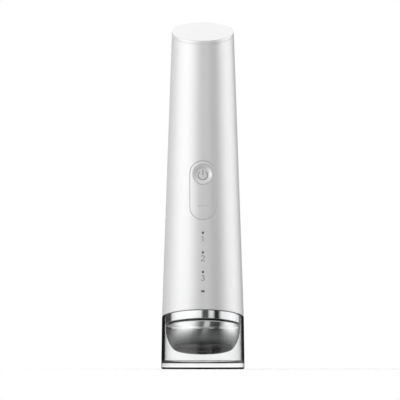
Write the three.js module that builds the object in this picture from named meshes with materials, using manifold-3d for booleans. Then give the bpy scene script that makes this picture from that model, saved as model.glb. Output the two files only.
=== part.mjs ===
// A skin care wand: a tapered white barrel with a domed metal head at its lower end,
// standing upright on the clear cap that covers the head.
// Millimetres. +Z runs up the barrel, -Y is the side with the keys, and the origin is
// the middle of the cap's flat base.
import * as THREE from 'three';
import { mergeVertices } from 'three/addons/utils/BufferGeometryUtils.js';
import Module from 'manifold-3d';

const wasm = await Module();
wasm.setup();

const degrees = (angle) => THREE.MathUtils.degToRad(angle);

// Clearances
const seatGap = 0.3; // between a piece and the seat that is cut for it
const seamGap = 0.25; // visible seams between casing pieces
const boreGap = 0.15; // pins, shafts and screws in their bores
const touchGap = 0.1; // a stem over its switch, a lead over its pad
const weld = 0.4; // how far joined features run into each other

// Barrel
const shoulderRadius = 21.6;
const bodyTaper = 0.035; // radius lost in each millimetre of height
const barrelWall = 1.8;
const shoulderHeight = 27.3; // at the axis, where the barrel ends and the cap begins
const headTilt = degrees(11); // the shoulder and the head face down and forward
const topHeight = 178.35; // at the axis
const topSlant = degrees(18); // the flat top faces up and forward
const lidThickness = 1.6;
const lidSkirtDrop = 18.35; // of the skirt's lower end below the top, at the axis
const lidSkirtWall = 1.6;
const topSealDrop = 14.35;
const topSealWire = 0.55;

// Trim ring and head
const shoulderStep = 1.9; // from the barrel's edge in to the ring
const ringWall = 1.7;
const ringVisible = 4.4; // chrome band between the barrel and the head
const ringInsert = 8.5; // how far the ring's sleeve reaches up inside the barrel, at the axis
const webBase = 5.2; // web inside the ring, above the ring's lower edge
const webThickness = 2.0;
const webHole = 9;
const postRadius = 2.3; // posts on the web that take the chassis screws
const grooveHeight = 0.9; // dark gap between the ring and the head
const gasketInset = 1.8;
const headInset = 0.2; // of the head's widest part inside the ring's
const headDepth = 13;
const headBulgeDepth = 7.2; // how far down the side stays nearly upright
const headEdgeInset = 3.2; // where the side meets the tight corner of the end face
const headEdgeDepth = 11.6;
const headFaceInset = 4.6;
const headFaceDepth = 12.6;
const headCorner = 0.7; // how far in the corner's curve pulls
const headWall = 0.9;
const headNeckGap = 1.6; // from the neck out to the ring's bore, so that the tilted neck clears it
const headNeckHeight = 4.5;
const carrierBase = 1.0;
const carrierHole = 4;
const headScrewInset = 3.9; // from the neck's outside
const headScrewCount = 3;
const piezoRadius = 10;
const piezoThickness = 2;
const springRadius = 3;
const springWire = 0.3;
const springTurns = 5;
const springTop = -2.2; // in the head's own frame, under the carrier

// Clear cap
const capFlare = 0.4; // the cap's base beyond its shoulder
const capWall = 1.75;
const capRimEase = 0.02; // of the cap's mouth beyond the barrel's bore
const capFloor = 3.2;
const capEdge = 1.0;

// Keys
const keyCentre = 94.2;
const keyRim = 1.5; // of the oval key round the power button
const keyHalfHeight = 15.5;
const keyThickness = 1.6;
const powerDrop = 0.3; // of the button below the middle of the key's round upper end
const powerRadius = 5.3;
const powerThickness = 1.9;
const powerDish = 0.5; // depth of the finger dish
const modeDrop = 8.2; // of the mode stem below the key's middle
const modeStemRadius = 1.5;
const keyTravel = 0.4;
const hingeRise = 0.9; // of the hinge pin above the key's upper end
const hingeDepth = 3.6; // of the hinge pin below the barrel's surface
const hingePinRadius = 0.6;
const hingeLugWidth = 3.8;
const sideLugWidth = 2.0;

// Switches and board
const boardDepth = 6.0585; // of the board's front below the barrel's surface, at the key's middle
const boardThickness = 1.2;
const boardHalfWidth = 10;
const boardLift = 4.2; // of the board's lower end above the ring
const boardOver = 4.4; // of the board's upper end above the power button
const switchSize = 6;
const switchHeight = 2.5;
const plungerRadius = 1.7;
const plungerProud = 1.0;
const plungerSunk = 1.1;
const chipHalfSize = 3; // the chip and the inductor are the same size, at these places across and up
const chipPlace = [5.2, 56.5];
const inductorPlace = [-5.4, 46.5];
const capacitorPlace = [-5.2, 56];
const coilHeight = 2.6; // of the inductor and the capacitor

// Indicators, from the top: three levels and the charge light
const levelHeights = [71.8, 61.5, 51.2];
const chargeHeight = 41.0;
const lensRadius = 0.6;
const lensSunk = 0.05; // below the barrel's surface
const chargeHalfWidth = 0.95;
const chargeHalfHeight = 0.5;
const ledLength = 1.6;
const ledWidth = 0.9;
const ledHeight = 0.7;

// Chassis
const spineThickness = 1.8;
const spineHalfWidth = 9.5;
const upperSpineHalfWidth = 7;
const spineOver = 2; // of the spine's end above the charging board
const flangeThickness = 2.6;
const flangeGap = 0.7;
const chassisScrewInset = 3.8; // from the ring's bore
const screwRadius = 1.0;
const screwHeadRadius = 1.9;
const screwHeadHeight = 1.4;
const ribThickness = 3;
const cradleWall = 1.6; // of a rib outside the cell or motor
const windowHalfWidth = 4; // of the windows in the spine that leads pass through

// Battery and motor
const cellRadius = 7.1;
const cellLength = 50;
const cellLift = 5.4; // of the cell above the motor
const foamThickness = 0.9;
const foamHeight = 8;
const motorRadius = 6;
const motorLength = 20;
const motorLift = 1.2; // of the motor above its weight
const sleeveThickness = 1.1;
const sleeveHeight = 14;
const motorCapRadius = 5.4;
const motorCapHeight = 1.4;
const shaftRadius = 0.75;
const shaftLift = 1.6; // of the shaft's end above the chassis flange
const weightLift = 0.4; // of the weight above the shaft's end
const weightRadius = 5;
const weightHeight = 5;

// Charging port, on the back
const portHeight = 140;
const portHalfWidth = 4.5;
const portHalfHeight = 1.6;
const portWall = 0.35; // of the socket's metal; the flap's boss is as much smaller than the socket
const portCoverHalfWidth = 6.5;
const portCoverHalfHeight = 3.7;
const portCoverThickness = 0.7;
const portRecessDepth = 0.9;
const portBossLength = 1.0;
const chargeBoardDepth = 11.6555; // of the charging board's front below the barrel's surface
const chargeBoardHalfWidth = 7;
const chargeBoardHalfHeight = 10;
const anchorRadius = 1.0;
const leadRadius = 0.5;

// Sizes that follow
const bodyRadius = (z) => shoulderRadius - bodyTaper * (z - shoulderHeight);
const boreRadius = (z) => bodyRadius(z) - barrelWall;
const lidSkirtBottom = topHeight - lidSkirtDrop;
const topSealHeight = topHeight - topSealDrop;
const ringRadius = shoulderRadius - shoulderStep;
const ringBore = ringRadius + seatGap;
const ringLowerHeight = shoulderHeight - ringVisible;
const ringInsertTop = shoulderHeight + ringInsert;
const headRadius = ringRadius - headInset;
const headEdgeRadius = headRadius - headEdgeInset;
const headFaceRadius = headRadius - headFaceInset;
const headNeckRadius = ringRadius - ringWall - headNeckGap;
const headScrewCircle = headNeckRadius - headScrewInset;
const capBaseRadius = shoulderRadius + capFlare;
const keyHalfWidth = powerRadius + keyRim;
const powerHeight = keyCentre + keyHalfHeight - keyHalfWidth - powerDrop;
const modeHeight = keyCentre - modeDrop;
const hingeHeight = keyCentre + keyHalfHeight + hingeRise;
const boardFront = boardDepth - bodyRadius(keyCentre);
const boardBack = boardFront + boardThickness;
const boardBottom = ringInsertTop + boardLift;
const boardTop = powerHeight + boardOver;
const spineBack = boardBack + spineThickness;
const flangeTop = ringInsertTop + flangeThickness;
const chassisScrewOffset = ringRadius - ringWall - chassisScrewInset;
const shaftBottom = flangeTop + shaftLift;
const weightBottom = shaftBottom + weightLift;
const weightTop = weightBottom + weightHeight;
const motorBottom = weightTop + motorLift;
const motorTop = motorBottom + motorLength;
const cellBottom = motorTop + cellLift;
const cellTop = cellBottom + cellLength;
const chargeBoardFront = bodyRadius(portHeight) - chargeBoardDepth;
const chargeBoardBack = chargeBoardFront + boardThickness;
const spineTop = portHeight + chargeBoardHalfHeight + spineOver;
const switchFront = boardFront - switchHeight;
const plungerFront = switchFront - plungerProud;
const stemEnd = plungerFront - touchGap;
const hingeY = -(bodyRadius(hingeHeight) - hingeDepth);
const hingeBore = hingePinRadius + boreGap;
const sideLugInner = hingeLugWidth / 2 + seatGap;
const sideLugOuter = sideLugInner + sideLugWidth;
const gasketRadius = headRadius - gasketInset;
const carrierTop = headNeckHeight + seatGap;
const sleeveBottom = motorBottom + (motorLength - sleeveHeight) / 2;
const reach = 600; // larger than the object, for half spaces
const around = 40; // facets round the casing
const small = 16; // facets round small pieces

// Solids: three.js makes every shape, manifold joins and cuts them

function toSolid(shape) {
  if (!shape.isBufferGeometry) return shape;
  const bare = shape.clone();
  bare.deleteAttribute('normal');
  bare.deleteAttribute('uv');
  const merged = mergeVertices(bare, 1e-5);
  const corners = [];
  for (let i = 0; i < merged.index.count; i += 3) {
    const [a, b, c] = [0, 1, 2].map((k) => merged.index.getX(i + k));
    if (a !== b && b !== c && c !== a) corners.push(a, b, c);
  }
  const vertProperties = new Float32Array(merged.attributes.position.array);
  const triVerts = new Uint32Array(corners);
  return new wasm.Manifold(new wasm.Mesh({ numProp: 3, vertProperties, triVerts }));
}

const join = (...shapes) => shapes.map(toSolid).reduce((whole, next) => whole.add(next));
const cut = (...shapes) => shapes.map(toSolid).reduce((whole, next) => whole.subtract(next));
const common = (...shapes) => shapes.map(toSolid).reduce((whole, next) => whole.intersect(next));

function toGeometry(shape) {
  const mesh = toSolid(shape).getMesh();
  const geometry = new THREE.BufferGeometry();
  geometry.setAttribute('position', new THREE.BufferAttribute(mesh.vertProperties, 3));
  geometry.setIndex(new THREE.BufferAttribute(mesh.triVerts, 1));
  geometry.computeVertexNormals();
  return geometry;
}

function turned(points, segments = around) {
  const geometry = new THREE.LatheGeometry(points.map(([r, z]) => new THREE.Vector2(r, z)), segments);
  return geometry.rotateX(Math.PI / 2);
}

function tube(outer, inner, bottom, top, segments = around) {
  return turned([[inner, bottom], [outer, bottom], [outer, top], [inner, top], [inner, bottom]], segments);
}

function rod(axis, radius, from, to, middle = [0, 0], segments = small) {
  const geometry = new THREE.CylinderGeometry(radius, radius, to - from, segments);
  geometry.translate(0, (from + to) / 2, 0);
  if (axis === 'x') return geometry.rotateZ(-Math.PI / 2).translate(0, middle[0], middle[1]);
  if (axis === 'y') return geometry.translate(middle[0], 0, middle[1]);
  return geometry.rotateX(Math.PI / 2).translate(middle[0], middle[1], 0);
}

function block([x0, x1], [y0, y1], [z0, z1]) {
  const geometry = new THREE.BoxGeometry(x1 - x0, y1 - y0, z1 - z0);
  return geometry.translate((x0 + x1) / 2, (y0 + y1) / 2, (z0 + z1) / 2);
}

// Solid cone that follows the barrel's outside, set in by inset
function bodyCone(inset, bottom, top) {
  return turned([
    [0, bottom],
    [bodyRadius(bottom) - inset, bottom],
    [bodyRadius(top) - inset, top],
    [0, top],
  ]);
}

// Everything above (side 1) or below (side -1) a plane that turns about X
function halfSpace(height, tilt, side) {
  const geometry = new THREE.BoxGeometry(reach, reach, reach);
  return geometry.translate(0, 0, (side * reach) / 2).rotateX(tilt).translate(0, 0, height);
}

const aboveShoulder = (offset) => halfSpace(shoulderHeight + offset, -headTilt, 1);
const belowShoulder = (offset) => halfSpace(shoulderHeight + offset, -headTilt, -1);
const aboveTop = (offset) => halfSpace(topHeight + offset, topSlant, 1);
const belowTop = (offset) => halfSpace(topHeight + offset, topSlant, -1);

function roundedOutline(halfWidth, halfHeight, corner, height) {
  const dx = halfWidth - corner;
  const dz = halfHeight - corner;
  const outline = new THREE.Shape();
  outline.absarc(dx, height + dz, corner, 0, Math.PI / 2);
  outline.absarc(-dx, height + dz, corner, Math.PI / 2, Math.PI);
  outline.absarc(-dx, height - dz, corner, Math.PI, 1.5 * Math.PI);
  outline.absarc(dx, height - dz, corner, 1.5 * Math.PI, 2 * Math.PI);
  return outline;
}

// Outline drawn in X and Z, extruded along Y
function prism(outline, near, far, curveSegments = 5) {
  const geometry = new THREE.ExtrudeGeometry(outline, {
    depth: far - near,
    bevelEnabled: false,
    curveSegments,
  });
  return geometry.rotateX(Math.PI / 2).translate(0, far, 0);
}

const keyOutline = (grow) =>
  roundedOutline(keyHalfWidth + grow, keyHalfHeight + grow, keyHalfWidth + grow, keyCentre);
const chargeOutline = (grow) =>
  roundedOutline(chargeHalfWidth + grow, chargeHalfHeight + grow, chargeHalfHeight + grow, chargeHeight);
const portOutline = (grow) =>
  roundedOutline(portHalfWidth + grow, portHalfHeight + grow, portHalfHeight + grow, portHeight);
function portCoverOutline(grow) {
  const halfHeight = portCoverHalfHeight + grow;
  return roundedOutline(portCoverHalfWidth + grow, halfHeight, halfHeight, portHeight);
}

// Layer of the barrel's surface between two depths, over the height of a key or cover
function surfaceLayer(outerInset, innerInset, bottom, top) {
  return cut(bodyCone(outerInset, bottom, top), bodyCone(innerInset, bottom - 1, top + 1));
}

function wire(points, radius, steps) {
  const path = new THREE.CatmullRomCurve3(points.map(([x, y, z]) => new THREE.Vector3(x, y, z)));
  const section = new THREE.Shape().absarc(0, 0, radius, 0, 2 * Math.PI);
  return new THREE.ExtrudeGeometry(section, { steps, curveSegments: 3, extrudePath: path });
}

function screw(headBase, shankEnd, [x, y]) {
  const head = rod('z', screwHeadRadius, headBase, headBase + screwHeadHeight, [x, y]);
  const recessFloor = headBase + screwHeadHeight / 2;
  const recess = rod('z', screwHeadRadius * 0.45, recessFloor, recessFloor + reach, [x, y], 6);
  const shank = rod('z', screwRadius, shankEnd, headBase + weld, [x, y]);
  return cut(join(head, shank), recess);
}

// Materials
const finish = (color, roughness, metalness = 0) =>
  new THREE.MeshStandardMaterial({ color, roughness, metalness });
const whitePlastic = () => finish(0xf1f1ef, 0.3);
const chrome = () => finish(0xd4d6d8, 0.06, 1);
const clearPlastic = () => {
  const material = finish(0xf4f8f8, 0.05);
  material.transparent = true;
  material.opacity = 0.3;
  return material;
};
const blackRubber = () => finish(0x1b1b1c, 0.8);
const greyPlastic = () => finish(0x6c7076, 0.6);
const steel = () => finish(0x9c9fa3, 0.35, 1);
const boardGreen = () => finish(0x1d5a3a, 0.5);
const chipBlack = () => finish(0x18181a, 0.5);
const lensAmber = () => finish(0x3a3f45, 0.2);
const leadRed = () => finish(0xa8221c, 0.5);
const leadBlack = () => finish(0x151515, 0.5);

const wand = new THREE.Group();
const head = new THREE.Group(); // turned with the head, its own zero at the ring's lower edge
head.rotation.x = -headTilt;
head.position.z = ringLowerHeight;
wand.add(head);

function addPiece(name, shape, material, parent = wand) {
  const mesh = new THREE.Mesh(toGeometry(shape), material);
  mesh.name = name;
  parent.add(mesh);
}

// Barrel, with its windows, hinge lugs and port recess
function makeBarrel() {
  const bottom = shoulderHeight - shoulderRadius;
  const top = topHeight + shoulderRadius;
  let shell = cut(bodyCone(0, bottom, top), bodyCone(barrelWall, bottom - 1, top + 1));
  shell = cut(shell, rod('z', ringBore, bottom - 1, ringInsertTop + seatGap, [0, 0], around));
  shell = common(shell, aboveShoulder(0), belowTop(-lidThickness - seamGap));
  shell = cut(shell, prism(keyOutline(seatGap), -shoulderRadius - 1, 0, 10));
  for (const height of levelHeights) {
    shell = cut(shell, rod('y', lensRadius + boreGap, -shoulderRadius - 1, 0, [0, height]));
  }
  shell = cut(shell, prism(chargeOutline(boreGap), -shoulderRadius - 1, 0));
  const lugDepth = [hingeY - hingeBore, hingeY + 2 * hingeBore];
  const rootDepth = [-boreRadius(hingeHeight) - weld, hingeY];
  const lugTop = hingeHeight + 3 * hingeBore;
  const rootBottom = keyCentre + keyHalfHeight + 2 * seatGap;
  for (const across of [[-sideLugOuter, -sideLugInner], [sideLugInner, sideLugOuter]]) {
    const lug = block(across, lugDepth, [hingeHeight - 2 * hingeBore, lugTop]);
    shell = join(shell, lug, block(across, rootDepth, [rootBottom, lugTop]));
  }
  shell = cut(shell, rod('x', hingeBore, -sideLugOuter - 1, sideLugOuter + 1, [hingeY, hingeHeight]));
  const recessBottom = portHeight - portCoverHalfHeight - 2;
  const recessTop = portHeight + portCoverHalfHeight + 2;
  const recess = common(
    prism(portCoverOutline(seatGap), 0, shoulderRadius),
    surfaceLayer(-1, portRecessDepth, recessBottom, recessTop),
  );
  shell = cut(shell, recess, prism(portOutline(seatGap), 0, shoulderRadius));
  addPiece('barrel_shell', shell, whitePlastic());
}

// Slanted lid that closes the top, with a skirt inside the bore and a seal round the skirt
function makeTop() {
  const bottom = lidSkirtBottom;
  const top = topHeight + shoulderRadius;
  const lid = common(bodyCone(0, bottom, top), belowTop(0), aboveTop(-lidThickness));
  const skirtInset = barrelWall + seatGap;
  const skirtBore = bodyCone(skirtInset + lidSkirtWall, bottom - 1, top + 1);
  let skirt = cut(bodyCone(skirtInset, bottom, top), skirtBore);
  skirt = common(skirt, belowTop(-lidThickness + weld));
  const sealRadius = boreRadius(topSealHeight) - seatGap - topSealWire;
  const groove = topSealWire + boreGap;
  const grooveInner = sealRadius - groove;
  skirt = cut(skirt, tube(sealRadius + 2 * groove, grooveInner, topSealHeight - groove, topSealHeight + groove));
  addPiece('top_cover', join(lid, skirt), whitePlastic());
  const ring = new THREE.TorusGeometry(sealRadius, topSealWire, 6, 36);
  addPiece('top_seal', ring.translate(0, 0, topSealHeight), blackRubber());
}

// Chrome ring: an upright sleeve with a slanted lower edge and a web that carries the head
function makeTrimRing() {
  const bottom = ringLowerHeight - ringRadius;
  const sleeve = tube(ringRadius, ringRadius - ringWall, bottom, ringInsertTop);
  const web = tube(ringRadius + 2, webHole, webBase, webBase + webThickness);
  web.rotateX(-headTilt).translate(0, 0, ringLowerHeight);
  const inside = rod('z', ringRadius - ringWall + weld, bottom, ringInsertTop, [0, 0], around);
  let ring = join(sleeve, common(web, inside));
  const webMiddle = ringLowerHeight + webBase + webThickness / 2;
  for (const side of [-1, 1]) {
    const place = [side * chassisScrewOffset, 0];
    const post = rod('z', postRadius, webMiddle, ringInsertTop, place);
    ring = cut(join(ring, post), rod('z', screwRadius + boreGap, webMiddle + 1, ringInsertTop + 1, place));
  }
  ring = common(ring, halfSpace(ringLowerHeight, -headTilt, 1));
  for (const [x, y] of headScrewPlaces()) {
    const hole = rod('z', screwRadius + boreGap, webBase - 1, webBase + webThickness + 1, [x, y]);
    ring = cut(ring, hole.rotateX(-headTilt).translate(0, 0, ringLowerHeight));
  }
  addPiece('trim_ring', ring, chrome());
}

function headScrewPlaces() {
  return Array.from({ length: headScrewCount }, (_, i) => {
    const angle = Math.PI / 2 + (i * 2 * Math.PI) / headScrewCount;
    return [headScrewCircle * Math.cos(angle), headScrewCircle * Math.sin(angle)];
  });
}

// Domed cup of the head, from the middle of its face up to its neck; inset gives its inside
function headProfile(inset) {
  const path = new THREE.Path();
  path.moveTo(0, -headDepth + inset);
  const faceStart = [headFaceRadius - inset, -headFaceDepth + inset];
  const corner = [headEdgeRadius - headCorner - inset, -headFaceDepth + 0.1 + inset];
  const edge = [headEdgeRadius - inset, -headEdgeDepth + inset];
  path.quadraticCurveTo(headFaceRadius / 2, -headDepth + inset, ...faceStart);
  path.quadraticCurveTo(...corner, ...edge);
  path.quadraticCurveTo(headRadius - inset, -headBulgeDepth, headRadius - inset, -grooveHeight - inset);
  path.lineTo(headNeckRadius - inset, -grooveHeight - inset);
  path.lineTo(headNeckRadius - inset, headNeckHeight);
  return path.getPoints(3).map(({ x, y }) => [x, y]);
}

function makeHead() {
  const cup = turned([...headProfile(0), ...headProfile(headWall).reverse()]);
  addPiece('head_shell', cup, chrome(), head);

  const gasket = tube(gasketRadius, headNeckRadius + seatGap, -grooveHeight + 0.2, -0.2, 48);
  addPiece('head_gasket', gasket, blackRubber(), head);

  const carrierRadius = headNeckRadius - headWall - seatGap;
  let carrier = tube(carrierRadius, carrierHole, carrierBase, carrierTop, 48);
  for (const [i, place] of headScrewPlaces().entries()) {
    carrier = cut(carrier, rod('z', screwRadius + boreGap, carrierBase + 1, carrierTop + 1, place));
    const headBase = webBase + webThickness + touchGap;
    addPiece(`head_screw_${i + 1}`, screw(headBase, carrierBase + 1.4, place), steel(), head);
  }
  addPiece('head_carrier', carrier, greyPlastic(), head);

  const faceInside = -headFaceDepth + headWall;
  const piezoTop = faceInside + seatGap + piezoThickness;
  const piezo = rod('z', piezoRadius, faceInside + seatGap, piezoTop, [0, 0], 40);
  addPiece('piezo_disc', piezo, finish(0xb9a98a, 0.5), head);

  const springBottom = piezoTop + springWire + touchGap;
  class Helix extends THREE.Curve {
    getPoint(t, target = new THREE.Vector3()) {
      const angle = t * springTurns * 2 * Math.PI;
      const height = springBottom + t * (springTop - springBottom);
      return target.set(springRadius * Math.cos(angle), springRadius * Math.sin(angle), height);
    }
  }
  const section = new THREE.Shape().absarc(0, 0, springWire, 0, 2 * Math.PI);
  const steps = springTurns * 10;
  const coil = new THREE.ExtrudeGeometry(section, { steps, curveSegments: 3, extrudePath: new Helix() });
  addPiece('contact_spring', coil, finish(0xc9a24a, 0.3, 1), head);
}

// Clear cup with a slanted rim that meets the shoulder
function makeCap() {
  const top = shoulderHeight + shoulderRadius / 2;
  const wallTaper = (capBaseRadius - shoulderRadius) / shoulderHeight;
  const outerTop = capBaseRadius - wallTaper * top;
  const innerRim = ringBore + capRimEase;
  const cup = turned([
    [0, 0],
    [capBaseRadius - capEdge, 0],
    [capBaseRadius, capEdge],
    [outerTop, top],
    [innerRim, top],
    [innerRim, shoulderHeight],
    [capBaseRadius - capWall, capFloor + capEdge],
    [capBaseRadius - capWall - capEdge, capFloor],
    [0, capFloor],
  ]);
  addPiece('clear_cap', common(cup, belowShoulder(-seamGap)), clearPlastic());
}

// Rocking mode key: an oval of the barrel's surface with a hinge lug and a stem
function makeKeys() {
  const bottom = keyCentre - keyHalfHeight - 2;
  const top = keyCentre + keyHalfHeight + 2;
  let key = common(prism(keyOutline(0), -shoulderRadius, 0, 10), surfaceLayer(0, keyThickness, bottom, top));
  key = cut(key, rod('y', powerRadius + seamGap, -shoulderRadius, 0, [0, powerHeight], 40));
  const backY = -(bodyRadius(modeHeight) - keyThickness);
  key = join(key, rod('y', modeStemRadius, backY - weld, stemEnd, [0, modeHeight]));
  const lugAcross = [-hingeLugWidth / 2, hingeLugWidth / 2];
  const lugFront = hingeY - 2 * hingeBore + seatGap;
  const armBottom = powerHeight + powerRadius + 2 * seamGap;
  const armTop = keyCentre + keyHalfHeight - 2 * touchGap;
  const arm = block(lugAcross, [-(bodyRadius(armTop) - keyThickness) - weld, hingeY], [armBottom, armTop]);
  const lug = block(lugAcross, [lugFront, hingeY + 2 * hingeBore], [armBottom, hingeHeight + 2 * hingeBore]);
  key = cut(join(key, arm, lug), rod('x', hingeBore, -hingeLugWidth, hingeLugWidth, [hingeY, hingeHeight]));
  addPiece('mode_key', key, whitePlastic());
  const pin = rod('x', hingePinRadius, -sideLugOuter, sideLugOuter, [hingeY, hingeHeight]);
  addPiece('key_hinge_pin', pin, steel());

  let button = common(
    rod('y', powerRadius, -shoulderRadius, 0, [0, powerHeight], 40),
    surfaceLayer(0, powerThickness, powerHeight - powerRadius - 1, powerHeight + powerRadius + 1),
  );
  const dishRadius = (powerRadius * powerRadius) / (2 * powerDish);
  const dish = new THREE.SphereGeometry(dishRadius, 64, 40);
  dish.translate(0, -bodyRadius(powerHeight) - dishRadius + powerDish, powerHeight);
  button = cut(button, dish);
  const buttonBack = -(bodyRadius(powerHeight) - powerThickness);
  button = join(button, rod('y', plungerRadius, buttonBack - weld, stemEnd, [0, powerHeight]));
  addPiece('power_button', button, whitePlastic());
}

function makeSwitch(name, height) {
  const half = switchSize / 2;
  const body = block([-half, half], [switchFront, boardFront], [height - half, height + half]);
  const wellEnd = switchFront + plungerSunk + 1.5 * keyTravel;
  const well = rod('y', plungerRadius + boreGap, switchFront - 1, wellEnd, [0, height]);
  addPiece(`${name}_switch_body`, cut(body, well), chipBlack());
  const plunger = rod('y', plungerRadius, plungerFront, switchFront + plungerSunk, [0, height]);
  addPiece(`${name}_switch_plunger`, plunger, greyPlastic());
}

function makeBoard() {
  const board = block([-boardHalfWidth, boardHalfWidth], [boardFront, boardBack], [boardBottom, boardTop]);
  addPiece('main_board', board, boardGreen());
  makeSwitch('power', powerHeight);
  makeSwitch('mode', modeHeight);
  const half = chipHalfSize;
  const onBoard = ([x, z], tall) =>
    block([x - half, x + half], [boardFront - tall, boardFront], [z - half, z + half]);
  addPiece('control_chip', onBoard(chipPlace, 1.2), chipBlack());
  addPiece('boost_inductor', onBoard(inductorPlace, coilHeight), finish(0x4a4643, 0.7));
  addPiece('capacitor', rod('y', 2, boardFront - coilHeight, boardFront, capacitorPlace), steel());
  const ledNames = [...levelHeights.map((_, i) => `level_led_${i + 1}`), 'charge_led'];
  const lensNames = [...levelHeights.map((_, i) => `level_lens_${i + 1}`), 'charge_lens'];
  for (const [i, height] of [...levelHeights, chargeHeight].entries()) {
    const ledRows = [height - ledWidth / 2, height + ledWidth / 2];
    const led = block([-ledLength / 2, ledLength / 2], [boardFront - ledHeight, boardFront], ledRows);
    addPiece(ledNames[i], led, finish(0xe8e3c8, 0.4));
    const lensFront = -bodyRadius(height) + lensSunk;
    const lensBack = boardFront - ledHeight - touchGap;
    const pipe = height === chargeHeight
      ? prism(chargeOutline(0), lensFront, lensBack)
      : rod('y', lensRadius, lensFront, lensBack, [0, height], 16);
    addPiece(lensNames[i], pipe, lensAmber());
  }
}

// Rib across the spine with a round cradle for a cell or motor
function cradle(radius, bottom) {
  const half = radius + cradleWall;
  const rib = block([-half, half], [spineBack - weld, 0], [bottom, bottom + ribThickness]);
  return cut(rib, rod('z', radius, bottom - 1, bottom + ribThickness + 1, [0, 0], 40));
}

function makeChassis() {
  const flangeRadius = boreRadius(flangeTop) - flangeGap;
  const lower = block([-spineHalfWidth, spineHalfWidth], [boardBack, spineBack], [ringInsertTop, boardTop]);
  const acrossUpper = [-upperSpineHalfWidth, upperSpineHalfWidth];
  const upper = block(acrossUpper, [boardBack, spineBack], [boardTop - weld, spineTop]);
  let chassis = join(lower, upper, tube(flangeRadius, webHole, ringInsertTop, flangeTop));
  const cellCradle = cellRadius + seatGap;
  const sleeveCradle = motorRadius + sleeveThickness + 2 * boreGap;
  const ribs = [
    [cellCradle, cellBottom + 4],
    [cellCradle, cellTop - 4 - ribThickness],
    [sleeveCradle, sleeveBottom + 1],
    [sleeveCradle, sleeveBottom + sleeveHeight - 1 - ribThickness],
  ];
  for (const [radius, bottom] of ribs) chassis = join(chassis, cradle(radius, bottom));
  for (const offset of [-chargeBoardHalfHeight + 1, chargeBoardHalfHeight - 1 - ribThickness]) {
    const base = portHeight + offset;
    const stand = block([-4, 4], [spineBack - weld, chargeBoardFront], [base, base + ribThickness]);
    chassis = join(chassis, stand);
  }
  const leadWindow = (half, from, to) => block([-half, half], [boardBack - 1, spineBack + 1], [from, to]);
  chassis = cut(
    chassis,
    leadWindow(7, boardBottom + 1.5, boardBottom + 4.5),
    leadWindow(windowHalfWidth, cellBottom - 3.5, cellBottom - 0.5),
    leadWindow(windowHalfWidth, cellTop + 2, cellTop + 6),
  );
  for (const side of [-1, 1]) {
    const place = [side * chassisScrewOffset, 0];
    chassis = cut(chassis, rod('z', screwRadius + boreGap, ringInsertTop - 1, flangeTop + 1, place));
    const name = side < 0 ? 'chassis_screw_1' : 'chassis_screw_2';
    addPiece(name, screw(flangeTop, ringInsertTop - 3.6, place), steel());
  }
  addPiece('chassis', chassis, greyPlastic());
}

function makeBattery() {
  const cell = join(
    rod('z', cellRadius, cellBottom, cellTop, [0, 0], 40),
    rod('z', cellRadius * 0.4, cellTop - weld, cellTop + 0.8, [0, 0]),
  );
  addPiece('battery_cell', cell, finish(0x2f6fae, 0.4));
  const middle = cellBottom + cellLength / 2;
  const inner = cellRadius + boreGap;
  const foam = tube(inner + foamThickness, inner, middle - foamHeight / 2, middle + foamHeight / 2, 40);
  addPiece('battery_foam', foam, finish(0x26282b, 0.95));
  const leads = [['battery_lead_red', -1, leadRed()], ['battery_lead_black', 1, leadBlack()]];
  for (const [name, side, material] of leads) {
    const start = side * (cellRadius * 0.4 + 1.2);
    const padY = boardFront - leadRadius - touchGap;
    const lead = wire([
      [start, 0, cellTop + touchGap],
      [start, -0.6, cellTop + 2.6],
      [start, -5, cellTop + 4.2],
      [side * 3, boardBack + 0.6, cellTop + 4.2],
      [side * 3.4, padY - 0.2, cellTop + 2.4],
      [side * 5.6, padY - 0.2, cellTop - 4],
      [side * 6.5, padY, boardTop + 5],
      [side * 6.5, padY, boardTop - 3],
    ], leadRadius, 18);
    addPiece(name, lead, material);
  }
}

function makeMotor() {
  const shaftTop = motorTop - 4;
  const can = cut(
    rod('z', motorRadius, motorBottom, motorTop, [0, 0], 40),
    rod('z', shaftRadius + boreGap, motorBottom - 1, shaftTop + seatGap),
  );
  addPiece('motor_can', can, steel());
  const inner = motorRadius + boreGap;
  const sleeve = tube(inner + sleeveThickness, inner, sleeveBottom, sleeveBottom + sleeveHeight, 40);
  addPiece('motor_sleeve', sleeve, blackRubber());
  const endCap = rod('z', motorCapRadius, motorTop, motorTop + motorCapHeight, [0, 0], 40);
  addPiece('motor_end_cap', endCap, finish(0xe9e6dd, 0.6));
  addPiece('motor_shaft', rod('z', shaftRadius, shaftBottom, shaftTop), steel());

  const half = common(
    rod('z', weightRadius, weightBottom, weightTop, [0, 0], 32),
    block([-weightRadius, weightRadius], [-weightRadius, 1], [weightBottom - 1, weightTop + 1]),
  );
  const hub = rod('z', shaftRadius + 1.4, weightBottom, weightTop);
  const weight = cut(join(half, hub), rod('z', shaftRadius + boreGap, weightBottom - 1, weightTop + 1));
  addPiece('eccentric_weight', weight, finish(0xb08d57, 0.4, 1));

  const leads = [['motor_lead_red', -1, leadRed()], ['motor_lead_black', 1, leadBlack()]];
  for (const [name, side, material] of leads) {
    const rise = cellBottom - 2;
    const lead = wire([
      [side * 2.5, 2, motorTop + motorCapHeight + touchGap],
      [side * 2.5, 1.2, rise - 0.4],
      [side * 2.5, -2, rise],
      [side * 2.5, spineBack, rise],
      [side * 2.5, boardBack + touchGap, rise],
    ], leadRadius, 12);
    addPiece(name, lead, material);
  }
}

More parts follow.
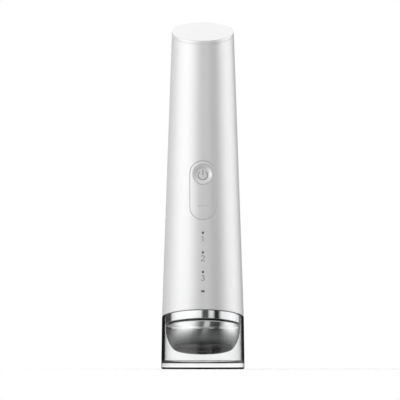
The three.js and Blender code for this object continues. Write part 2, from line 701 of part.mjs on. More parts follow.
// Two leads from the head up through the carrier, web and flange to the board
function makeHeadLeads() {
  for (const [name, side] of [['head_lead_1', -1], ['head_lead_2', 1]]) {
    const padHeight = boardBottom + 3;
    const lead = wire([
      [side * 1.4, -0.3, ringLowerHeight + springTop + 1],
      [side * 1.4, 0.6, ringLowerHeight + 5],
      [side * 2.4, -1.5, ringInsertTop - 3],
      [side * 5.2, -5.8, flangeTop],
      [side * 5.6, -8.4, padHeight - 0.4],
      [side * 5.6, boardBack + touchGap, padHeight],
    ], leadRadius, 16);
    addPiece(name, lead, finish(0xd9d9d6, 0.5));
  }
}

// Charging socket on its own small board, behind a flap in the back of the barrel
function makeChargingPort() {
  const across = [-chargeBoardHalfWidth, chargeBoardHalfWidth];
  const up = [portHeight - chargeBoardHalfHeight, portHeight + chargeBoardHalfHeight];
  addPiece('charge_board', block(across, [chargeBoardFront, chargeBoardBack], up), boardGreen());

  const recessFloor = boreRadius(portHeight);
  const sideSag = recessFloor - Math.sqrt(recessFloor ** 2 - portHalfWidth ** 2);
  const socketFront = recessFloor - sideSag - boreGap;
  const outer = prism(portOutline(0), chargeBoardBack, socketFront);
  const mouth = prism(portOutline(-portWall), socketFront - 5.5, socketFront + 1);
  const tongueRows = [portHeight - portWall, portHeight + portWall];
  const tongue = block([-2.9, 2.9], [socketFront - 6, socketFront - 0.8], tongueRows);
  addPiece('usb_socket', join(cut(outer, mouth), tongue), steel());

  const bottom = portHeight - portCoverHalfHeight - 1;
  const top = portHeight + portCoverHalfHeight + 1;
  const flapLayer = surfaceLayer(0, portCoverThickness, bottom, top);
  const flap = common(prism(portCoverOutline(0), 0, shoulderRadius), flapLayer);
  const bossBack = bodyRadius(portHeight) - portCoverThickness - portBossLength;
  const boss = prism(portOutline(-portWall), bossBack, bodyRadius(portHeight) - portCoverThickness / 2);
  addPiece('port_cover', join(flap, common(boss, bodyCone(portCoverThickness / 2, bottom, top))), whitePlastic());
}

makeBarrel();
makeTop();
makeTrimRing();
makeHead();
makeCap();
makeKeys();
makeBoard();
makeChassis();
makeBattery();
makeMotor();
makeHeadLeads();
makeChargingPort();

export default wand;
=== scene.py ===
import math
import bmesh
import bpy
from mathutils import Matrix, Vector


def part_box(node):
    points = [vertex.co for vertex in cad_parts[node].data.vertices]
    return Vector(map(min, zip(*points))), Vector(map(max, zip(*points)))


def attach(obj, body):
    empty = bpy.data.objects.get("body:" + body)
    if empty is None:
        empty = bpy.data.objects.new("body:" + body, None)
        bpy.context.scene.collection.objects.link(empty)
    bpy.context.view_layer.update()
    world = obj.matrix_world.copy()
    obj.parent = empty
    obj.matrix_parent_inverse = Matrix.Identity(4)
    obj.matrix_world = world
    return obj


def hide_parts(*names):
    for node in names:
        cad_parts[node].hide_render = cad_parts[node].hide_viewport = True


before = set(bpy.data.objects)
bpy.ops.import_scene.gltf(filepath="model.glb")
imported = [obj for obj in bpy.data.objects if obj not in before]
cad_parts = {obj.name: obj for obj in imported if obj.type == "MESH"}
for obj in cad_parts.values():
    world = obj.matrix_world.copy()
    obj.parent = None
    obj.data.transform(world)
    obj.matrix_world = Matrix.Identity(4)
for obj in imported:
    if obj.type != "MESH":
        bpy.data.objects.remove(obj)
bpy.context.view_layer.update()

mm = 0.001
print("frame loaded:", len(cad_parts), "nodes")

# The casing's own lines, in mm and degrees; heights come from the frame
casing = dict(taper=0.035, shoulderTilt=11.0, topSlant=18.0, wall=1.8, seam=0.25, facets=192)


def low(node):
    return [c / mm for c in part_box(node)[0]]


def high(node):
    return [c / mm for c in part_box(node)[1]]


tilt = math.radians(casing["shoulderTilt"])
slant = math.radians(casing["topSlant"])
shoulderSlope = -math.tan(tilt)
topSlope = math.tan(slant)
shoulderRadius = high("barrel_shell")[0]
backRadius = high("barrel_shell")[1]
shoulderHeight = low("barrel_shell")[2] - shoulderSlope * backRadius


def radiusAt(z):
    return shoulderRadius - casing["taper"] * (z - shoulderHeight)


topBackHeight = high("top_cover")[2]
topHeight = topBackHeight - topSlope * radiusAt(topBackHeight)
print("shoulder at", round(shoulderHeight, 2), "mm, top at", round(topHeight, 2), "mm")


class Wire:
    # one value socket; arithmetic on it adds Math nodes
    def __init__(self, tree, socket):
        self.tree = tree
        self.socket = socket

    def every(self):
        # all the values of the node that this one comes from
        return [Wire(self.tree, output) for output in self.socket.node.outputs]

    def math(self, operation, *others):
        node = self.tree.nodes.new("ShaderNodeMath")
        node.operation = operation
        for slot, value in zip(node.inputs, others):
            feed(self.tree, slot, value)
        return Wire(self.tree, node.outputs[0])

    def __add__(self, other):
        return self.math("ADD", self, other)

    def __radd__(self, other):
        return self.math("ADD", other, self)

    def __sub__(self, other):
        return self.math("SUBTRACT", self, other)

    def __rsub__(self, other):
        return self.math("SUBTRACT", other, self)

    def __mul__(self, other):
        return self.math("MULTIPLY", self, other)

    def __rmul__(self, other):
        return self.math("MULTIPLY", other, self)

    def __truediv__(self, other):
        return self.math("DIVIDE", self, other)

    def __rtruediv__(self, other):
        return self.math("DIVIDE", other, self)

    def __pow__(self, other):
        return self.math("POWER", self, other)

    def __gt__(self, other):
        return self.math("GREATER_THAN", self, other)

    def __lt__(self, other):
        return self.math("LESS_THAN", self, other)


def feed(tree, slot, value):
    if isinstance(value, Wire):
        tree.links.new(value.socket, slot)
    elif value is not None:
        slot.default_value = value


def rgba(colour):
    return (*colour, 1.0)


class Nodes:
    # builds one node tree
    def __init__(self, tree):
        self.tree = tree
        tree.nodes.clear()

    def add(self, kind, settings=None, values=None, out=0):
        # one node: its settings first, then its sockets by name or number
        node = self.tree.nodes.new(kind)
        for name, value in (settings or {}).items():
            if name == "stops":
                ramp = node.color_ramp
                for place, colour in value[1:-1]:
                    ramp.elements.new(place).color = colour
                for end in (0, -1):
                    ramp.elements[end].position, ramp.elements[end].color = value[end]
            else:
                setattr(node, name, value)
        for name, value in (values or {}).items():
            feed(self.tree, node.inputs[name], value)
        return Wire(self.tree, node.outputs[out]) if node.outputs else None

    def place(self):
        return self.add("ShaderNodeTexCoord", out="Object")

    def split(self, vector):
        return self.add("ShaderNodeSeparateXYZ", None, {"Vector": vector}).every()

    def noise(self, scale, detail=2.0, rough=0.5):
        values = {"Vector": self.place(), "Scale": scale, "Detail": detail, "Roughness": rough}
        return self.add("ShaderNodeTexNoise", None, values, "Fac")

    def remap(self, value, start, end, kind="LINEAR"):
        # 0 at start, 1 at end and held beyond
        values = {"Value": value, "From Min": start, "From Max": end}
        return self.add("ShaderNodeMapRange", {"interpolation_type": kind}, values)

    def smooth(self, value, start, end):
        return self.remap(value, start, end, "SMOOTHSTEP")

    def mixColour(self, factor, first, second):
        return self.add("ShaderNodeMix", {"data_type": "RGBA"}, {0: factor, 6: first, 7: second}, 2)

    def mixShaders(self, factor, first, second):
        return self.add("ShaderNodeMixShader", None, {0: factor, 1: first, 2: second})

    def glow(self, level):
        # plain light of one level, given as a number or a wire
        colour = level if isinstance(level, Wire) else rgba([level] * 3)
        return self.add("ShaderNodeEmission", None, {"Color": colour, "Strength": 1.0})

    def bump(self, height, strength, distance):
        values = {"Height": height, "Strength": strength, "Distance": distance}
        return self.add("ShaderNodeBump", None, values)


def newMaterial(name):
    material = bpy.data.materials.new(name)
    material.use_nodes = True
    return material, Nodes(material.node_tree)


# what a finish has unless it says otherwise
plainFinish = dict(metal=0.0, driftScale=60.0, grainScale=1800.0, bump=0.05, bumpDepth=0.00004,
                   roughDrift=0.06, roughGrain=0.04, secondShade=0.96, speckleEdge=(0.6, 0.7))


def finishMaterial(name, finish):
    # colour and roughness drift slowly over a piece, and a fine grain shows in its surface
    spec = {**plainFinish, **finish}
    material, nodes = newMaterial(name)
    drift = nodes.noise(spec["driftScale"], 3.0, 0.55)
    grain = nodes.noise(spec["grainScale"])
    second = spec.get("second", [c * spec["secondShade"] for c in spec["colour"]])
    colour = nodes.mixColour(drift, rgba(spec["colour"]), rgba(second))
    if "speckle" in spec:
        spots = nodes.smooth(nodes.noise(spec["speckleScale"], 1.0), *spec["speckleEdge"])
        colour = nodes.mixColour(spots * spec["speckleAmount"], colour, rgba(spec["speckle"]))
    rough = spec["rough"] + (drift - 0.5) * spec["roughDrift"] + (grain - 0.5) * spec["roughGrain"]
    values = {
        "Base Color": colour,
        "Roughness": rough,
        "Metallic": spec["metal"],
        "Normal": nodes.bump(grain, spec["bump"], spec["bumpDepth"]),
    }
    shader = nodes.add("ShaderNodeBsdfPrincipled", None, values)
    nodes.add("ShaderNodeOutputMaterial", None, {"Surface": shader})
    return material


satin = dict(metal=0.5, grainScale=2600.0, bump=0.04, bumpDepth=0.00002, roughDrift=0.03, driftScale=25.0)
finishes = {
    "pearlWhite": dict(satin, colour=(0.90, 0.90, 0.90), second=(0.885, 0.885, 0.888), rough=0.36),
    "pearlKey": dict(satin, colour=(0.89, 0.89, 0.89), second=(0.875, 0.875, 0.878), rough=0.33),
    "softSilicone": dict(colour=(0.80, 0.80, 0.79), rough=0.62, grainScale=2200.0, bump=0.12),
    "platedChrome": dict(colour=(0.90, 0.905, 0.91), second=(0.88, 0.885, 0.89), rough=0.045, metal=1.0,
                         driftScale=40.0, grainScale=1500.0, bump=0.008, bumpDepth=0.00001, roughDrift=0.02,
                         roughGrain=0.01),
    "sealRubber": dict(colour=(0.02, 0.02, 0.021), rough=0.7, grainScale=2400.0, bump=0.2),
    "greyNylon": dict(colour=(0.14, 0.145, 0.15), rough=0.55, grainScale=1700.0, bump=0.18),
    "ivoryNylon": dict(colour=(0.70, 0.66, 0.56), rough=0.5, grainScale=1700.0, bump=0.15),
    "brightSteel": dict(colour=(0.60, 0.61, 0.62), rough=0.28, metal=1.0, grainScale=2500.0, bump=0.06,
                        roughDrift=0.1),
    "plainBrass": dict(colour=(0.75, 0.56, 0.28), rough=0.3, metal=1.0, grainScale=2000.0, bump=0.06,
                       roughDrift=0.1),
    "boardGreen": dict(colour=(0.02, 0.17, 0.07), second=(0.015, 0.13, 0.055), rough=0.35, driftScale=700.0,
                       grainScale=3500.0, bump=0.1, speckle=(0.55, 0.42, 0.16), speckleScale=900.0,
                       speckleAmount=0.35),
    "chipBlack": dict(colour=(0.018, 0.018, 0.02), rough=0.5, grainScale=3200.0, bump=0.15),
    "pressedFerrite": dict(colour=(0.06, 0.056, 0.052), rough=0.75, grainScale=2600.0, bump=0.3),
    "ledResin": dict(colour=(0.80, 0.74, 0.50), rough=0.25, grainScale=2000.0, bump=0.02),
    "smokedLens": dict(colour=(0.16, 0.165, 0.17), rough=0.16, grainScale=2500.0, bump=0.02, roughDrift=0.03),
    "firedCeramic": dict(colour=(0.52, 0.43, 0.30), rough=0.6, grainScale=2200.0, bump=0.25),
    "shrinkSleeve": dict(colour=(0.03, 0.16, 0.40), second=(0.025, 0.13, 0.34), rough=0.28, driftScale=120.0,
                         grainScale=1200.0, bump=0.08),
    "closedFoam": dict(colour=(0.025, 0.026, 0.028), rough=0.9, grainScale=1500.0, bump=0.6,
                       bumpDepth=0.0001),
    "leadRed": dict(colour=(0.45, 0.02, 0.015), rough=0.45, grainScale=1500.0),
    "leadBlack": dict(colour=(0.015, 0.015, 0.016), rough=0.45, grainScale=1500.0),
    "leadWhite": dict(colour=(0.72, 0.72, 0.70), rough=0.45, grainScale=1500.0),
    "printedFaint": dict(colour=(0.58, 0.58, 0.585), second=(0.54, 0.54, 0.545), rough=0.5,
                         grainScale=3000.0),
    "printedGrey": dict(colour=(0.30, 0.30, 0.305), second=(0.27, 0.27, 0.275), rough=0.5,
                        grainScale=3000.0),
}
paint = {name: finishMaterial(name, finish) for name, finish in finishes.items()}


def clearMaterial():
    # clear moulded cap: glass with faint flow waves
    material, nodes = newMaterial("clearMoulding")
    waves = nodes.noise(55.0, 1.0)
    haze = nodes.noise(400.0, 2.0)
    values = {
        "Base Color": (0.985, 0.99, 0.99, 1.0),
        "Roughness": 0.003 + haze * 0.008,
        "IOR": 1.49,
        "Transmission Weight": 1.0,
        "Normal": nodes.bump(waves, 0.01, 0.0001),
    }
    shader = nodes.add("ShaderNodeBsdfPrincipled", None, values)
    nodes.add("ShaderNodeOutputMaterial", None, {"Surface": shader})
    return material


paint["clearMoulding"] = clearMaterial()
print("materials:", len(paint))


# making and finishing a mesh; every length is in mm
def bareMesh(name, points, faces, finish, merge=True):
    mesh = bpy.data.meshes.new(name)
    mesh.from_pydata([tuple(c * mm for c in p) for p in points], [], faces)
    mesh.validate()
    bm = bmesh.new()
    bm.from_mesh(mesh)
    if merge:
        bmesh.ops.remove_doubles(bm, verts=bm.verts, dist=1e-7)
    bmesh.ops.recalc_face_normals(bm, faces=bm.faces)
    bm.to_mesh(mesh)
    bm.free()
    piece = bpy.data.objects.new(name, mesh)
    bpy.context.scene.collection.objects.link(piece)
    mesh.materials.append(paint[finish])
    return piece


def applied(piece):
    # swaps the piece's mesh for the one its modifiers give
    bpy.context.view_layer.update()
    graph = bpy.context.evaluated_depsgraph_get()
    mesh = bpy.data.meshes.new_from_object(piece.evaluated_get(graph))
    keep = piece.data.materials[0]
    piece.modifiers.clear()
    old = piece.data
    piece.data = mesh
    bpy.data.meshes.remove(old)
    mesh.materials.clear()
    mesh.materials.append(keep)
    mesh.polygons.foreach_set("material_index", [0] * len(mesh.polygons))


def shadeSmooth(piece, sharp=40.0):
    # smooth faces, with normals that the small faces of a rounded edge don't bend
    mesh = piece.data
    mesh.polygons.foreach_set("use_smooth", [True] * len(mesh.polygons))
    mesh.set_sharp_from_angle(angle=math.radians(sharp))
    modifier = piece.modifiers.new("normals", "WEIGHTED_NORMAL")
    modifier.keep_sharp = True
    applied(piece)


def meshPiece(name, points, faces, finish, sharp=40.0):
    piece = bareMesh(name, points, faces, finish)
    shadeSmooth(piece, sharp)
    return piece


def loftFaces(count, size, closed=False):
    # quads between successive rings of the same size; closed joins the last ring to the first
    faces = []
    for ring in range(count if closed else count - 1):
        a = ring * size
        b = ((ring + 1) % count) * size
        for i in range(size):
            j = (i + 1) % size
            faces.append((a + i, a + j, b + j, b + i))
    return faces


def loft(name, rings, finish, closed=False, sharp=40.0):
    size = len(rings[0])
    points = [p for ring in rings for p in ring]
    faces = loftFaces(len(rings), size, closed)
    if not closed:
        faces.append(tuple(range(size)))
        faces.append(tuple(range((len(rings) - 1) * size, len(rings) * size)))
    return meshPiece(name, points, faces, finish, sharp)


def carve(piece, cutters):
    for cutter in cutters:
        modifier = piece.modifiers.new("carve", "BOOLEAN")
        modifier.solver = "EXACT"
        modifier.object = cutter
    applied(piece)
    for cutter in cutters:
        bpy.data.objects.remove(cutter)
    shadeSmooth(piece)


def settle(piece, body, *nodes):
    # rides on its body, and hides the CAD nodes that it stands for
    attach(piece, body)
    if nodes:
        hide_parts(*nodes)


def turns(count):
    # half a step on, so no facet edge runs down the middle of the front, where the windows are
    return [2 * math.pi * (i + 0.5) / count for i in range(count)]


def circle(radius, z, facets=casing["facets"]):
    return [(radius * math.cos(a), radius * math.sin(a), z) for a in turns(facets)]


def slopingCircle(radius, height):
    # a circle seen from above, lying in the shoulder's tilt
    return [(x, y, height + shoulderSlope * y) for x, y, z in circle(radius, height)]


def slantedRing(height, slope, inset=0.0):
    # ring on the barrel's cone, set in by inset, where it meets a tilted plane
    points = []
    for a in turns(casing["facets"]):
        s = slope * math.sin(a)
        lift = (radiusAt(height) - inset) * s / (1 + casing["taper"] * s)
        r = radiusAt(height + lift) - inset
        points.append((r * math.cos(a), r * math.sin(a), height + lift))
    return points


def between(first, second, share):
    return [tuple(p + (q - p) * share for p, q in zip(a, b)) for a, b in zip(first, second)]


def rounding(radius, steps=5):
    # (inset, drop) pairs round a quarter circle, from the side to the end face
    pairs = []
    for i in range(steps + 1):
        a = math.pi / 2 * i / steps
        pairs.append((radius * (1 - math.cos(a)), radius * (1 - math.sin(a))))
    return pairs


def racetrack(halfWidth, halfHeight, middle, grow, perArc=20, perSide=10):
    # (x, z) points round a slot with full round ends, grown all round
    corner = min(halfWidth, halfHeight)
    dx = halfWidth - corner
    dz = halfHeight - corner
    r = corner + grow
    centres = ((dx, dz), (-dx, dz), (-dx, -dz), (dx, -dz))
    points = []
    for quarter, (cx, cz) in enumerate(centres):
        for i in range(perArc):
            a = math.pi / 2 * (quarter + i / perArc)
            points.append((cx + r * math.cos(a), middle + cz + r * math.sin(a)))
        a = math.pi / 2 * (quarter + 1)
        nx, nz = centres[(quarter + 1) % 4]
        for i in range(perSide):
            t = i / perSide
            px = cx + (nx - cx) * t
            pz = cz + (nz - cz) * t
            points.append((px + r * math.cos(a), middle + pz + r * math.sin(a)))
    return points


def onSurface(outline, depth, side=-1):
    # puts (x, z) points on the barrel's surface at a depth; side -1 is the front, 1 the back
    points = []
    for x, z in outline:
        y = math.sqrt(max(radiusAt(z) ** 2 - x * x, 0.0)) - depth
        points.append((x, side * y, z))
    return points


def flatRing(outline, depth, side=-1):
    # the same points on a flat plane in front of or behind the surface
    y = max(radiusAt(z) for x, z in outline) - depth
    return [(x, side * y, z) for x, z in outline]


cutting = dict(mouth=0.3, reach=1.5, flare=0.05, lift=0.03, floorShares=(0.0, 0.5, 0.96))


def pocket(name, outlineOf, gap, lip, depth, side=-1, flatFloor=True):
    # cutter for a window: flares out in a small round lip where it meets the surface
    rings = [flatRing(outlineOf(gap + lip + cutting["mouth"]), -cutting["reach"], side)]
    rings.append(onSurface(outlineOf(gap + lip + cutting["flare"]), -cutting["lift"], side))
    for inset, drop in rounding(lip):
        rings.append(onSurface(outlineOf(gap + drop), inset, side))
    outline = outlineOf(gap)
    if flatFloor:
        rings.append(flatRing(outline, depth, side))
    else:
        reach = min(max(x for x, z in outline), max(z for x, z in outline) - outline[0][1])
        for share in cutting["floorShares"]:
            rings.append(onSurface(outlineOf(gap - share * reach), depth, side))
    return loft(name, rings, "pearlWhite")


# barrel: one closed shell of rings, with its windows cut
barrel = dict(rings=60, ledge=1.6, endRound=0.2, topRound=0.09, ringGap=0.3, lip=0.17, keyGap=0.1,
              keyRise=0.3, windowDepth=6.0, lensGap=0.06, lensLip=0.08, portGap=0.3, portDepth=0.9,
              socketLip=0.1)
lensNodes = ["level_lens_1", "level_lens_2", "level_lens_3", "charge_lens"]
buttonMiddle = (high("power_button")[2] + low("power_button")[2]) / 2
buttonRadius = high("power_button")[0]


def keyWindow(grow):
    # the key's hinge lug reaches higher inside the barrel, so its round top is placed from the button
    halfWidth = high("mode_key")[0]
    top = buttonMiddle + barrel["keyRise"] + halfWidth
    bottom = low("mode_key")[2]
    return racetrack(halfWidth, (top - bottom) / 2, (top + bottom) / 2, grow)


def roundHole(node):
    lo, hi = low(node), high(node)
    halfWidth = (hi[0] - lo[0]) / 2
    halfHeight = (hi[2] - lo[2]) / 2
    return lambda grow: racetrack(halfWidth, halfHeight, (lo[2] + hi[2]) / 2, grow, 12, 3)


def slotShape(node):
    lo, hi = low(node), high(node)
    return lambda grow: racetrack(hi[0], (hi[2] - lo[2]) / 2, (hi[2] + lo[2]) / 2, grow)


def makeBarrel():
    seamTop = topHeight - barrel["ledge"] - casing["seam"]
    bottomRings, topRings = [], []
    for inset, drop in reversed(rounding(barrel["endRound"])):
        bottomRings.append(slantedRing(shoulderHeight + drop, shoulderSlope, inset))
    for inset, drop in rounding(barrel["topRound"], 3):
        topRings.append(slantedRing(seamTop - drop, topSlope, inset))
    middle = []
    for i in range(1, barrel["rings"]):
        ring = []
        for (x, y, z), end in zip(bottomRings[-1], topRings[0]):
            height = z + (end[2] - z) * i / barrel["rings"]
            a = math.atan2(y, x)
            ring.append((radiusAt(height) * math.cos(a), radiusAt(height) * math.sin(a), height))
        middle.append(ring)
    # inside: the plain wall, then the counterbore that takes the trim ring
    bore = high("trim_ring")[0] + barrel["ringGap"]
    step = high("trim_ring")[2] + barrel["ringGap"]
    wallTop = slantedRing(seamTop, topSlope, casing["wall"])
    wallEnd = circle(radiusAt(step) - casing["wall"], step)
    inner = [wallTop] + [between(wallTop, wallEnd, i / 8) for i in range(1, 8)] + [wallEnd]
    inner += [circle(bore, step), slantedRing(shoulderHeight, shoulderSlope, shoulderRadius - bore)]
    piece = loft("barrelShell", bottomRings + middle + topRings + inner, "pearlWhite", closed=True)
    lip, deep = barrel["lip"], barrel["windowDepth"]
    cutters = [pocket("keyCut", keyWindow, barrel["keyGap"], lip, deep)]
    for node in lensNodes:
        cutters.append(pocket(node + "Cut", roundHole(node), barrel["lensGap"], barrel["lensLip"], deep))
    flapShape, socketShape, gap = slotShape("port_cover"), slotShape("usb_socket"), barrel["portGap"]
    cutters.append(pocket("portCut", flapShape, gap, lip, barrel["portDepth"], 1, False))
    cutters.append(pocket("socketCut", socketShape, gap, barrel["socketLip"], deep, 1))
    carve(piece, cutters)
    settle(piece, "barrel", "barrel_shell")


makeBarrel()
print("barrel made")

# slanted lid: a plate over a skirt that reaches down inside the barrel
lid = dict(edge=0.35, lowerEdge=0.1, seam=0.07, skirtWall=1.6, skirtGap=0.3,
           faceShares=(0.1, 0.25, 0.45, 0.65, 0.82, 0.94), undersideShares=(0.5, 0.94))


def drawnIn(ring, centreHeight, share):
    # the ring shrunk towards a point on the wand's axis
    return [tuple(p + (c - p) * share for p, c in zip(point, (0.0, 0.0, centreHeight))) for point in ring]


def makeLid():
    ledge = topHeight - barrel["ledge"] - casing["seam"] + lid["seam"]
    skirtBottom = low("top_cover")[2]
    skirtInset = casing["wall"] + lid["skirtGap"]
    skirtInner = skirtInset + lid["skirtWall"]
    rings = [circle(radiusAt(skirtBottom) - inset, skirtBottom) for inset in (skirtInner, skirtInset)]
    rings.append(slantedRing(ledge, topSlope, skirtInset))
    for inset, drop in reversed(rounding(lid["lowerEdge"], 3)):
        rings.append(slantedRing(ledge + drop, topSlope, inset))
    for inset, drop in rounding(lid["edge"], 8):
        rings.append(slantedRing(topHeight - drop, topSlope, inset))
    rim = rings[-1]
    rings += [drawnIn(rim, topHeight, share) for share in lid["faceShares"]]
    under = slantedRing(ledge, topSlope, skirtInner)
    closing = [under] + [drawnIn(under, ledge, share) for share in lid["undersideShares"]]
    size = casing["facets"]
    points = [p for ring in rings + closing for p in ring]
    base = len(rings) * size
    faces = loftFaces(len(rings), size)
    faces.append(tuple(range(base - size, base)))
    faces += [tuple(base + v for v in face) for face in loftFaces(len(closing), size)]
    faces.append(tuple(range(base + (len(closing) - 1) * size, base + len(closing) * size)))
    for i in range(size):
        faces.append((i, (i + 1) % size, base + (i + 1) % size, base + i))
    settle(meshPiece("slantedLid", points, faces, "pearlWhite", 35.0), "barrel", "top_cover")


makeLid()
print("lid made")

# trim ring, head and the gasket in the groove between them, in the head's own tilt
head = dict(groove=0.74, bulgeDepth=7.2, depth=13.0, edgeInset=3.2, edgeDepth=11.6, cornerPull=0.7,
            cornerRise=0.1, faceInset=4.6, faceDepth=12.6, rimRound=0.25, rimMiddle=0.08, wall=0.9,
            innerStart=1.2, innerTip=0.3, neckHeight=4.5, neckGap=1.6, ringWall=1.7, ringRound=0.3,
            ringChamfer=0.3, gasketRound=0.2, gasketGap=0.2, gasketSeat=0.3, curveSteps=(14, 14, 26))
ringRadius = high("trim_ring")[0]
headRadius = high("head_shell")[0]
neckRadius = ringRadius - head["ringWall"] - head["neckGap"]
ringLow = low("trim_ring")[2] - shoulderSlope * ringRadius


def tilted(radius, height):
    # a circle from the head's own frame in the wand's
    c, s = math.cos(tilt), math.sin(tilt)
    return [(x, y * c + z * s, -y * s + z * c + ringLow) for x, y, z in circle(radius, height)]


def makeRing():
    bore = ringRadius - head["ringWall"]
    top = high("trim_ring")[2]
    rings = [circle(bore, top), slopingCircle(bore, ringLow)]
    for inset, drop in reversed(rounding(head["ringRound"], 6)):
        rings.append(slopingCircle(ringRadius - inset, ringLow + drop))
    for share in (0.3, 0.6):
        rings.append(between(rings[-1], circle(ringRadius, top), share))
    rings.append(circle(ringRadius, top - head["ringChamfer"]))
    rings.append(circle(ringRadius - head["ringChamfer"], top))
    piece = loft("trimRing", rings, "platedChrome", closed=True, sharp=50.0)
    settle(piece, "barrel", "trim_ring")


def headProfile():
    # (radius, height) from the middle of the working face out to the groove
    edge = headRadius - head["edgeInset"]
    face = headRadius - head["faceInset"]
    top = -head["groove"]
    rim = top - head["rimRound"]
    faceSteps, cornerSteps, bulgeSteps = head["curveSteps"]

    def curve(p0, p1, p2, steps):
        return [tuple((1 - t) ** 2 * a + 2 * t * (1 - t) * b + t * t * c for a, b, c in zip(p0, p1, p2))
                for t in (i / steps for i in range(steps))]

    corner = (edge - head["cornerPull"], head["cornerRise"] - head["faceDepth"])
    points = curve((0.0, -head["depth"]), (face / 2, -head["depth"]), (face, -head["faceDepth"]), faceSteps)
    points += curve((face, -head["faceDepth"]), corner, (edge, -head["edgeDepth"]), cornerSteps)
    bulge = (headRadius, -head["bulgeDepth"])
    points += curve((edge, -head["edgeDepth"]), bulge, (headRadius, rim), bulgeSteps)
    points += [(headRadius, rim), (headRadius - head["rimMiddle"], top - head["rimMiddle"])]
    points.append((headRadius - head["rimRound"], top))
    return points[1:]


def makeHead():
    profile = headProfile()
    wall, top = head["wall"], -head["groove"]
    rings = list(profile) + [(neckRadius, top), (neckRadius, head["neckHeight"])]
    rings += [(neckRadius - wall, head["neckHeight"]), (neckRadius - wall, top - wall)]
    rings.append((headRadius - wall, top - wall))
    for r, z in reversed(profile):
        if z < top - head["innerStart"]:
            rings.append((max(r - wall, head["innerTip"]), z + wall))
    piece = loft("headShell", [tilted(r, z) for r, z in rings], "platedChrome", sharp=50.0)
    settle(piece, "barrel", "head_shell")


def makeGasket():
    outer = high("head_gasket")[0]
    inner = neckRadius + head["gasketSeat"]
    top = -head["gasketGap"]
    bottom = head["gasketGap"] - head["groove"]
    edge = rounding(head["gasketRound"], 4)
    rings = [tilted(outer - inset, top - drop) for inset, drop in edge]
    rings += [tilted(inner, top), tilted(inner, bottom)]
    rings += [tilted(outer - inset, bottom + drop) for inset, drop in reversed(edge)]
    piece = loft("headGasket", rings, "sealRubber", closed=True, sharp=60.0)
    settle(piece, "barrel", "head_gasket")


makeRing()
makeHead()
makeGasket()
print("head made")

# clear cap: a thick-floored cup whose rim follows the shoulder
cap = dict(wall=1.75, floor=3.1, footInset=0.75, footRise=1.45, footRound=1.0, floorRound=1.7, rimRound=0.06,
           seam=0.08, ringGap=0.32, outerSteps=(4.0, 8.0, 12.0, 16.0), innerSteps=(18.0, 12.0, 8.0),
           footShares=(0.1, 0.4, 0.7, 0.9), floorShares=(0.85, 0.6, 0.3, 0.1))


def makeCap():
    base = high("clear_cap")[0]
    inside = base - cap["wall"]
    rimHeight = shoulderHeight - cap["seam"]
    boreTop = ringRadius + cap["ringGap"]

    def outer(z):
        return base - (base - shoulderRadius) / shoulderHeight * z

    rings = [circle((base - cap["footInset"]) * share, 0.0) for share in cap["footShares"]]
    for inset, drop in reversed(rounding(cap["footRound"], 6)):
        rise = drop * cap["footRise"]
        rings.append(circle(outer(rise) - inset * cap["footInset"], rise))
    rings += [circle(outer(z), z) for z in cap["outerSteps"]]
    for inset, drop in rounding(cap["rimRound"], 4):
        rings.append(slopingCircle(outer(shoulderHeight) - inset, rimHeight - drop))
    for inset, drop in reversed(rounding(cap["rimRound"], 4)):
        rings.append(slopingCircle(boreTop + inset, rimHeight - drop))
    for z in cap["innerSteps"]:
        share = (z - cap["floor"]) / (shoulderHeight - cap["floor"])
        rings.append(circle(inside + (boreTop - inside) * share, z))
    for inset, drop in rounding(cap["floorRound"], 8):
        rings.append(circle(inside - inset, cap["floor"] + drop))
    for share in cap["floorShares"]:
        rings.append(circle((inside - cap["floorRound"]) * share, cap["floor"]))
    piece = loft("clearCap", rings, "clearMoulding", sharp=60.0)
    settle(piece, "cap", "clear_cap")


makeCap()
print("cap made")

# keys: the oval plate that rocks, and the round button with its finger dish
keys = dict(edge=0.3, thickness=1.6, holeEdge=0.15, buttonGap=0.1, buttonEdge=0.2, buttonDepth=1.9,
            buttonFacets=128, dish=1.2, dishRadius=5.1, dishBand=2.2, dishRings=30, centre=0.1,
            dishCentre=0.05)


def makeModeKey():
    # one closed band between the key's outline and the hole for the power button
    aims = [math.atan2(z - buttonMiddle, x) for x, z in keyWindow(0.0)]
    hole = buttonRadius + keys["buttonGap"]

    def bore(grow):
        return [((hole + grow) * math.cos(a), buttonMiddle + (hole + grow) * math.sin(a)) for a in aims]

    rings = [onSurface(keyWindow(0.0), keys["thickness"])]
    for inset, drop in rounding(keys["edge"], 6):
        rings.append(onSurface(keyWindow(-inset), drop))
    inside, outside = bore(keys["holeEdge"]), keyWindow(-keys["edge"])
    for i in range(1, 8):
        rings.append(onSurface(between(outside, inside, i / 8), 0.0))
    for inset, drop in reversed(rounding(keys["holeEdge"], 5)):
        rings.append(onSurface(bore(inset), drop))
    rings.append(onSurface(bore(0.0), keys["thickness"]))
    settle(loft("modeKey", rings, "pearlKey", closed=True), "mode_key", "mode_key")


def buttonDepthAt(rho):
    # finger dish: a sloping band inside the rim, then a nearly flat floor
    t = min(max((keys["dishRadius"] - rho) / keys["dishBand"], 0.0), 1.0)
    return keys["dish"] * t * t * (3 - 2 * t)


def makePowerButton():
    def disc(rho, depth):
        outline = [(rho * math.cos(a), buttonMiddle + rho * math.sin(a)) for a in turns(keys["buttonFacets"])]
        return onSurface(outline, depth)

    rings = [disc(keys["centre"], keys["buttonDepth"]), disc(buttonRadius, keys["buttonDepth"])]
    for inset, drop in rounding(keys["buttonEdge"], 6):
        rings.append(disc(buttonRadius - inset, drop))
    for i in range(keys["dishRings"]):
        rho = keys["dishRadius"] * (1 - i / keys["dishRings"]) + keys["dishCentre"]
        rings.append(disc(rho, buttonDepthAt(rho)))
    settle(loft("powerButton", rings, "pearlKey"), "power_button", "power_button")


makeModeKey()
makePowerButton()
print("keys made")

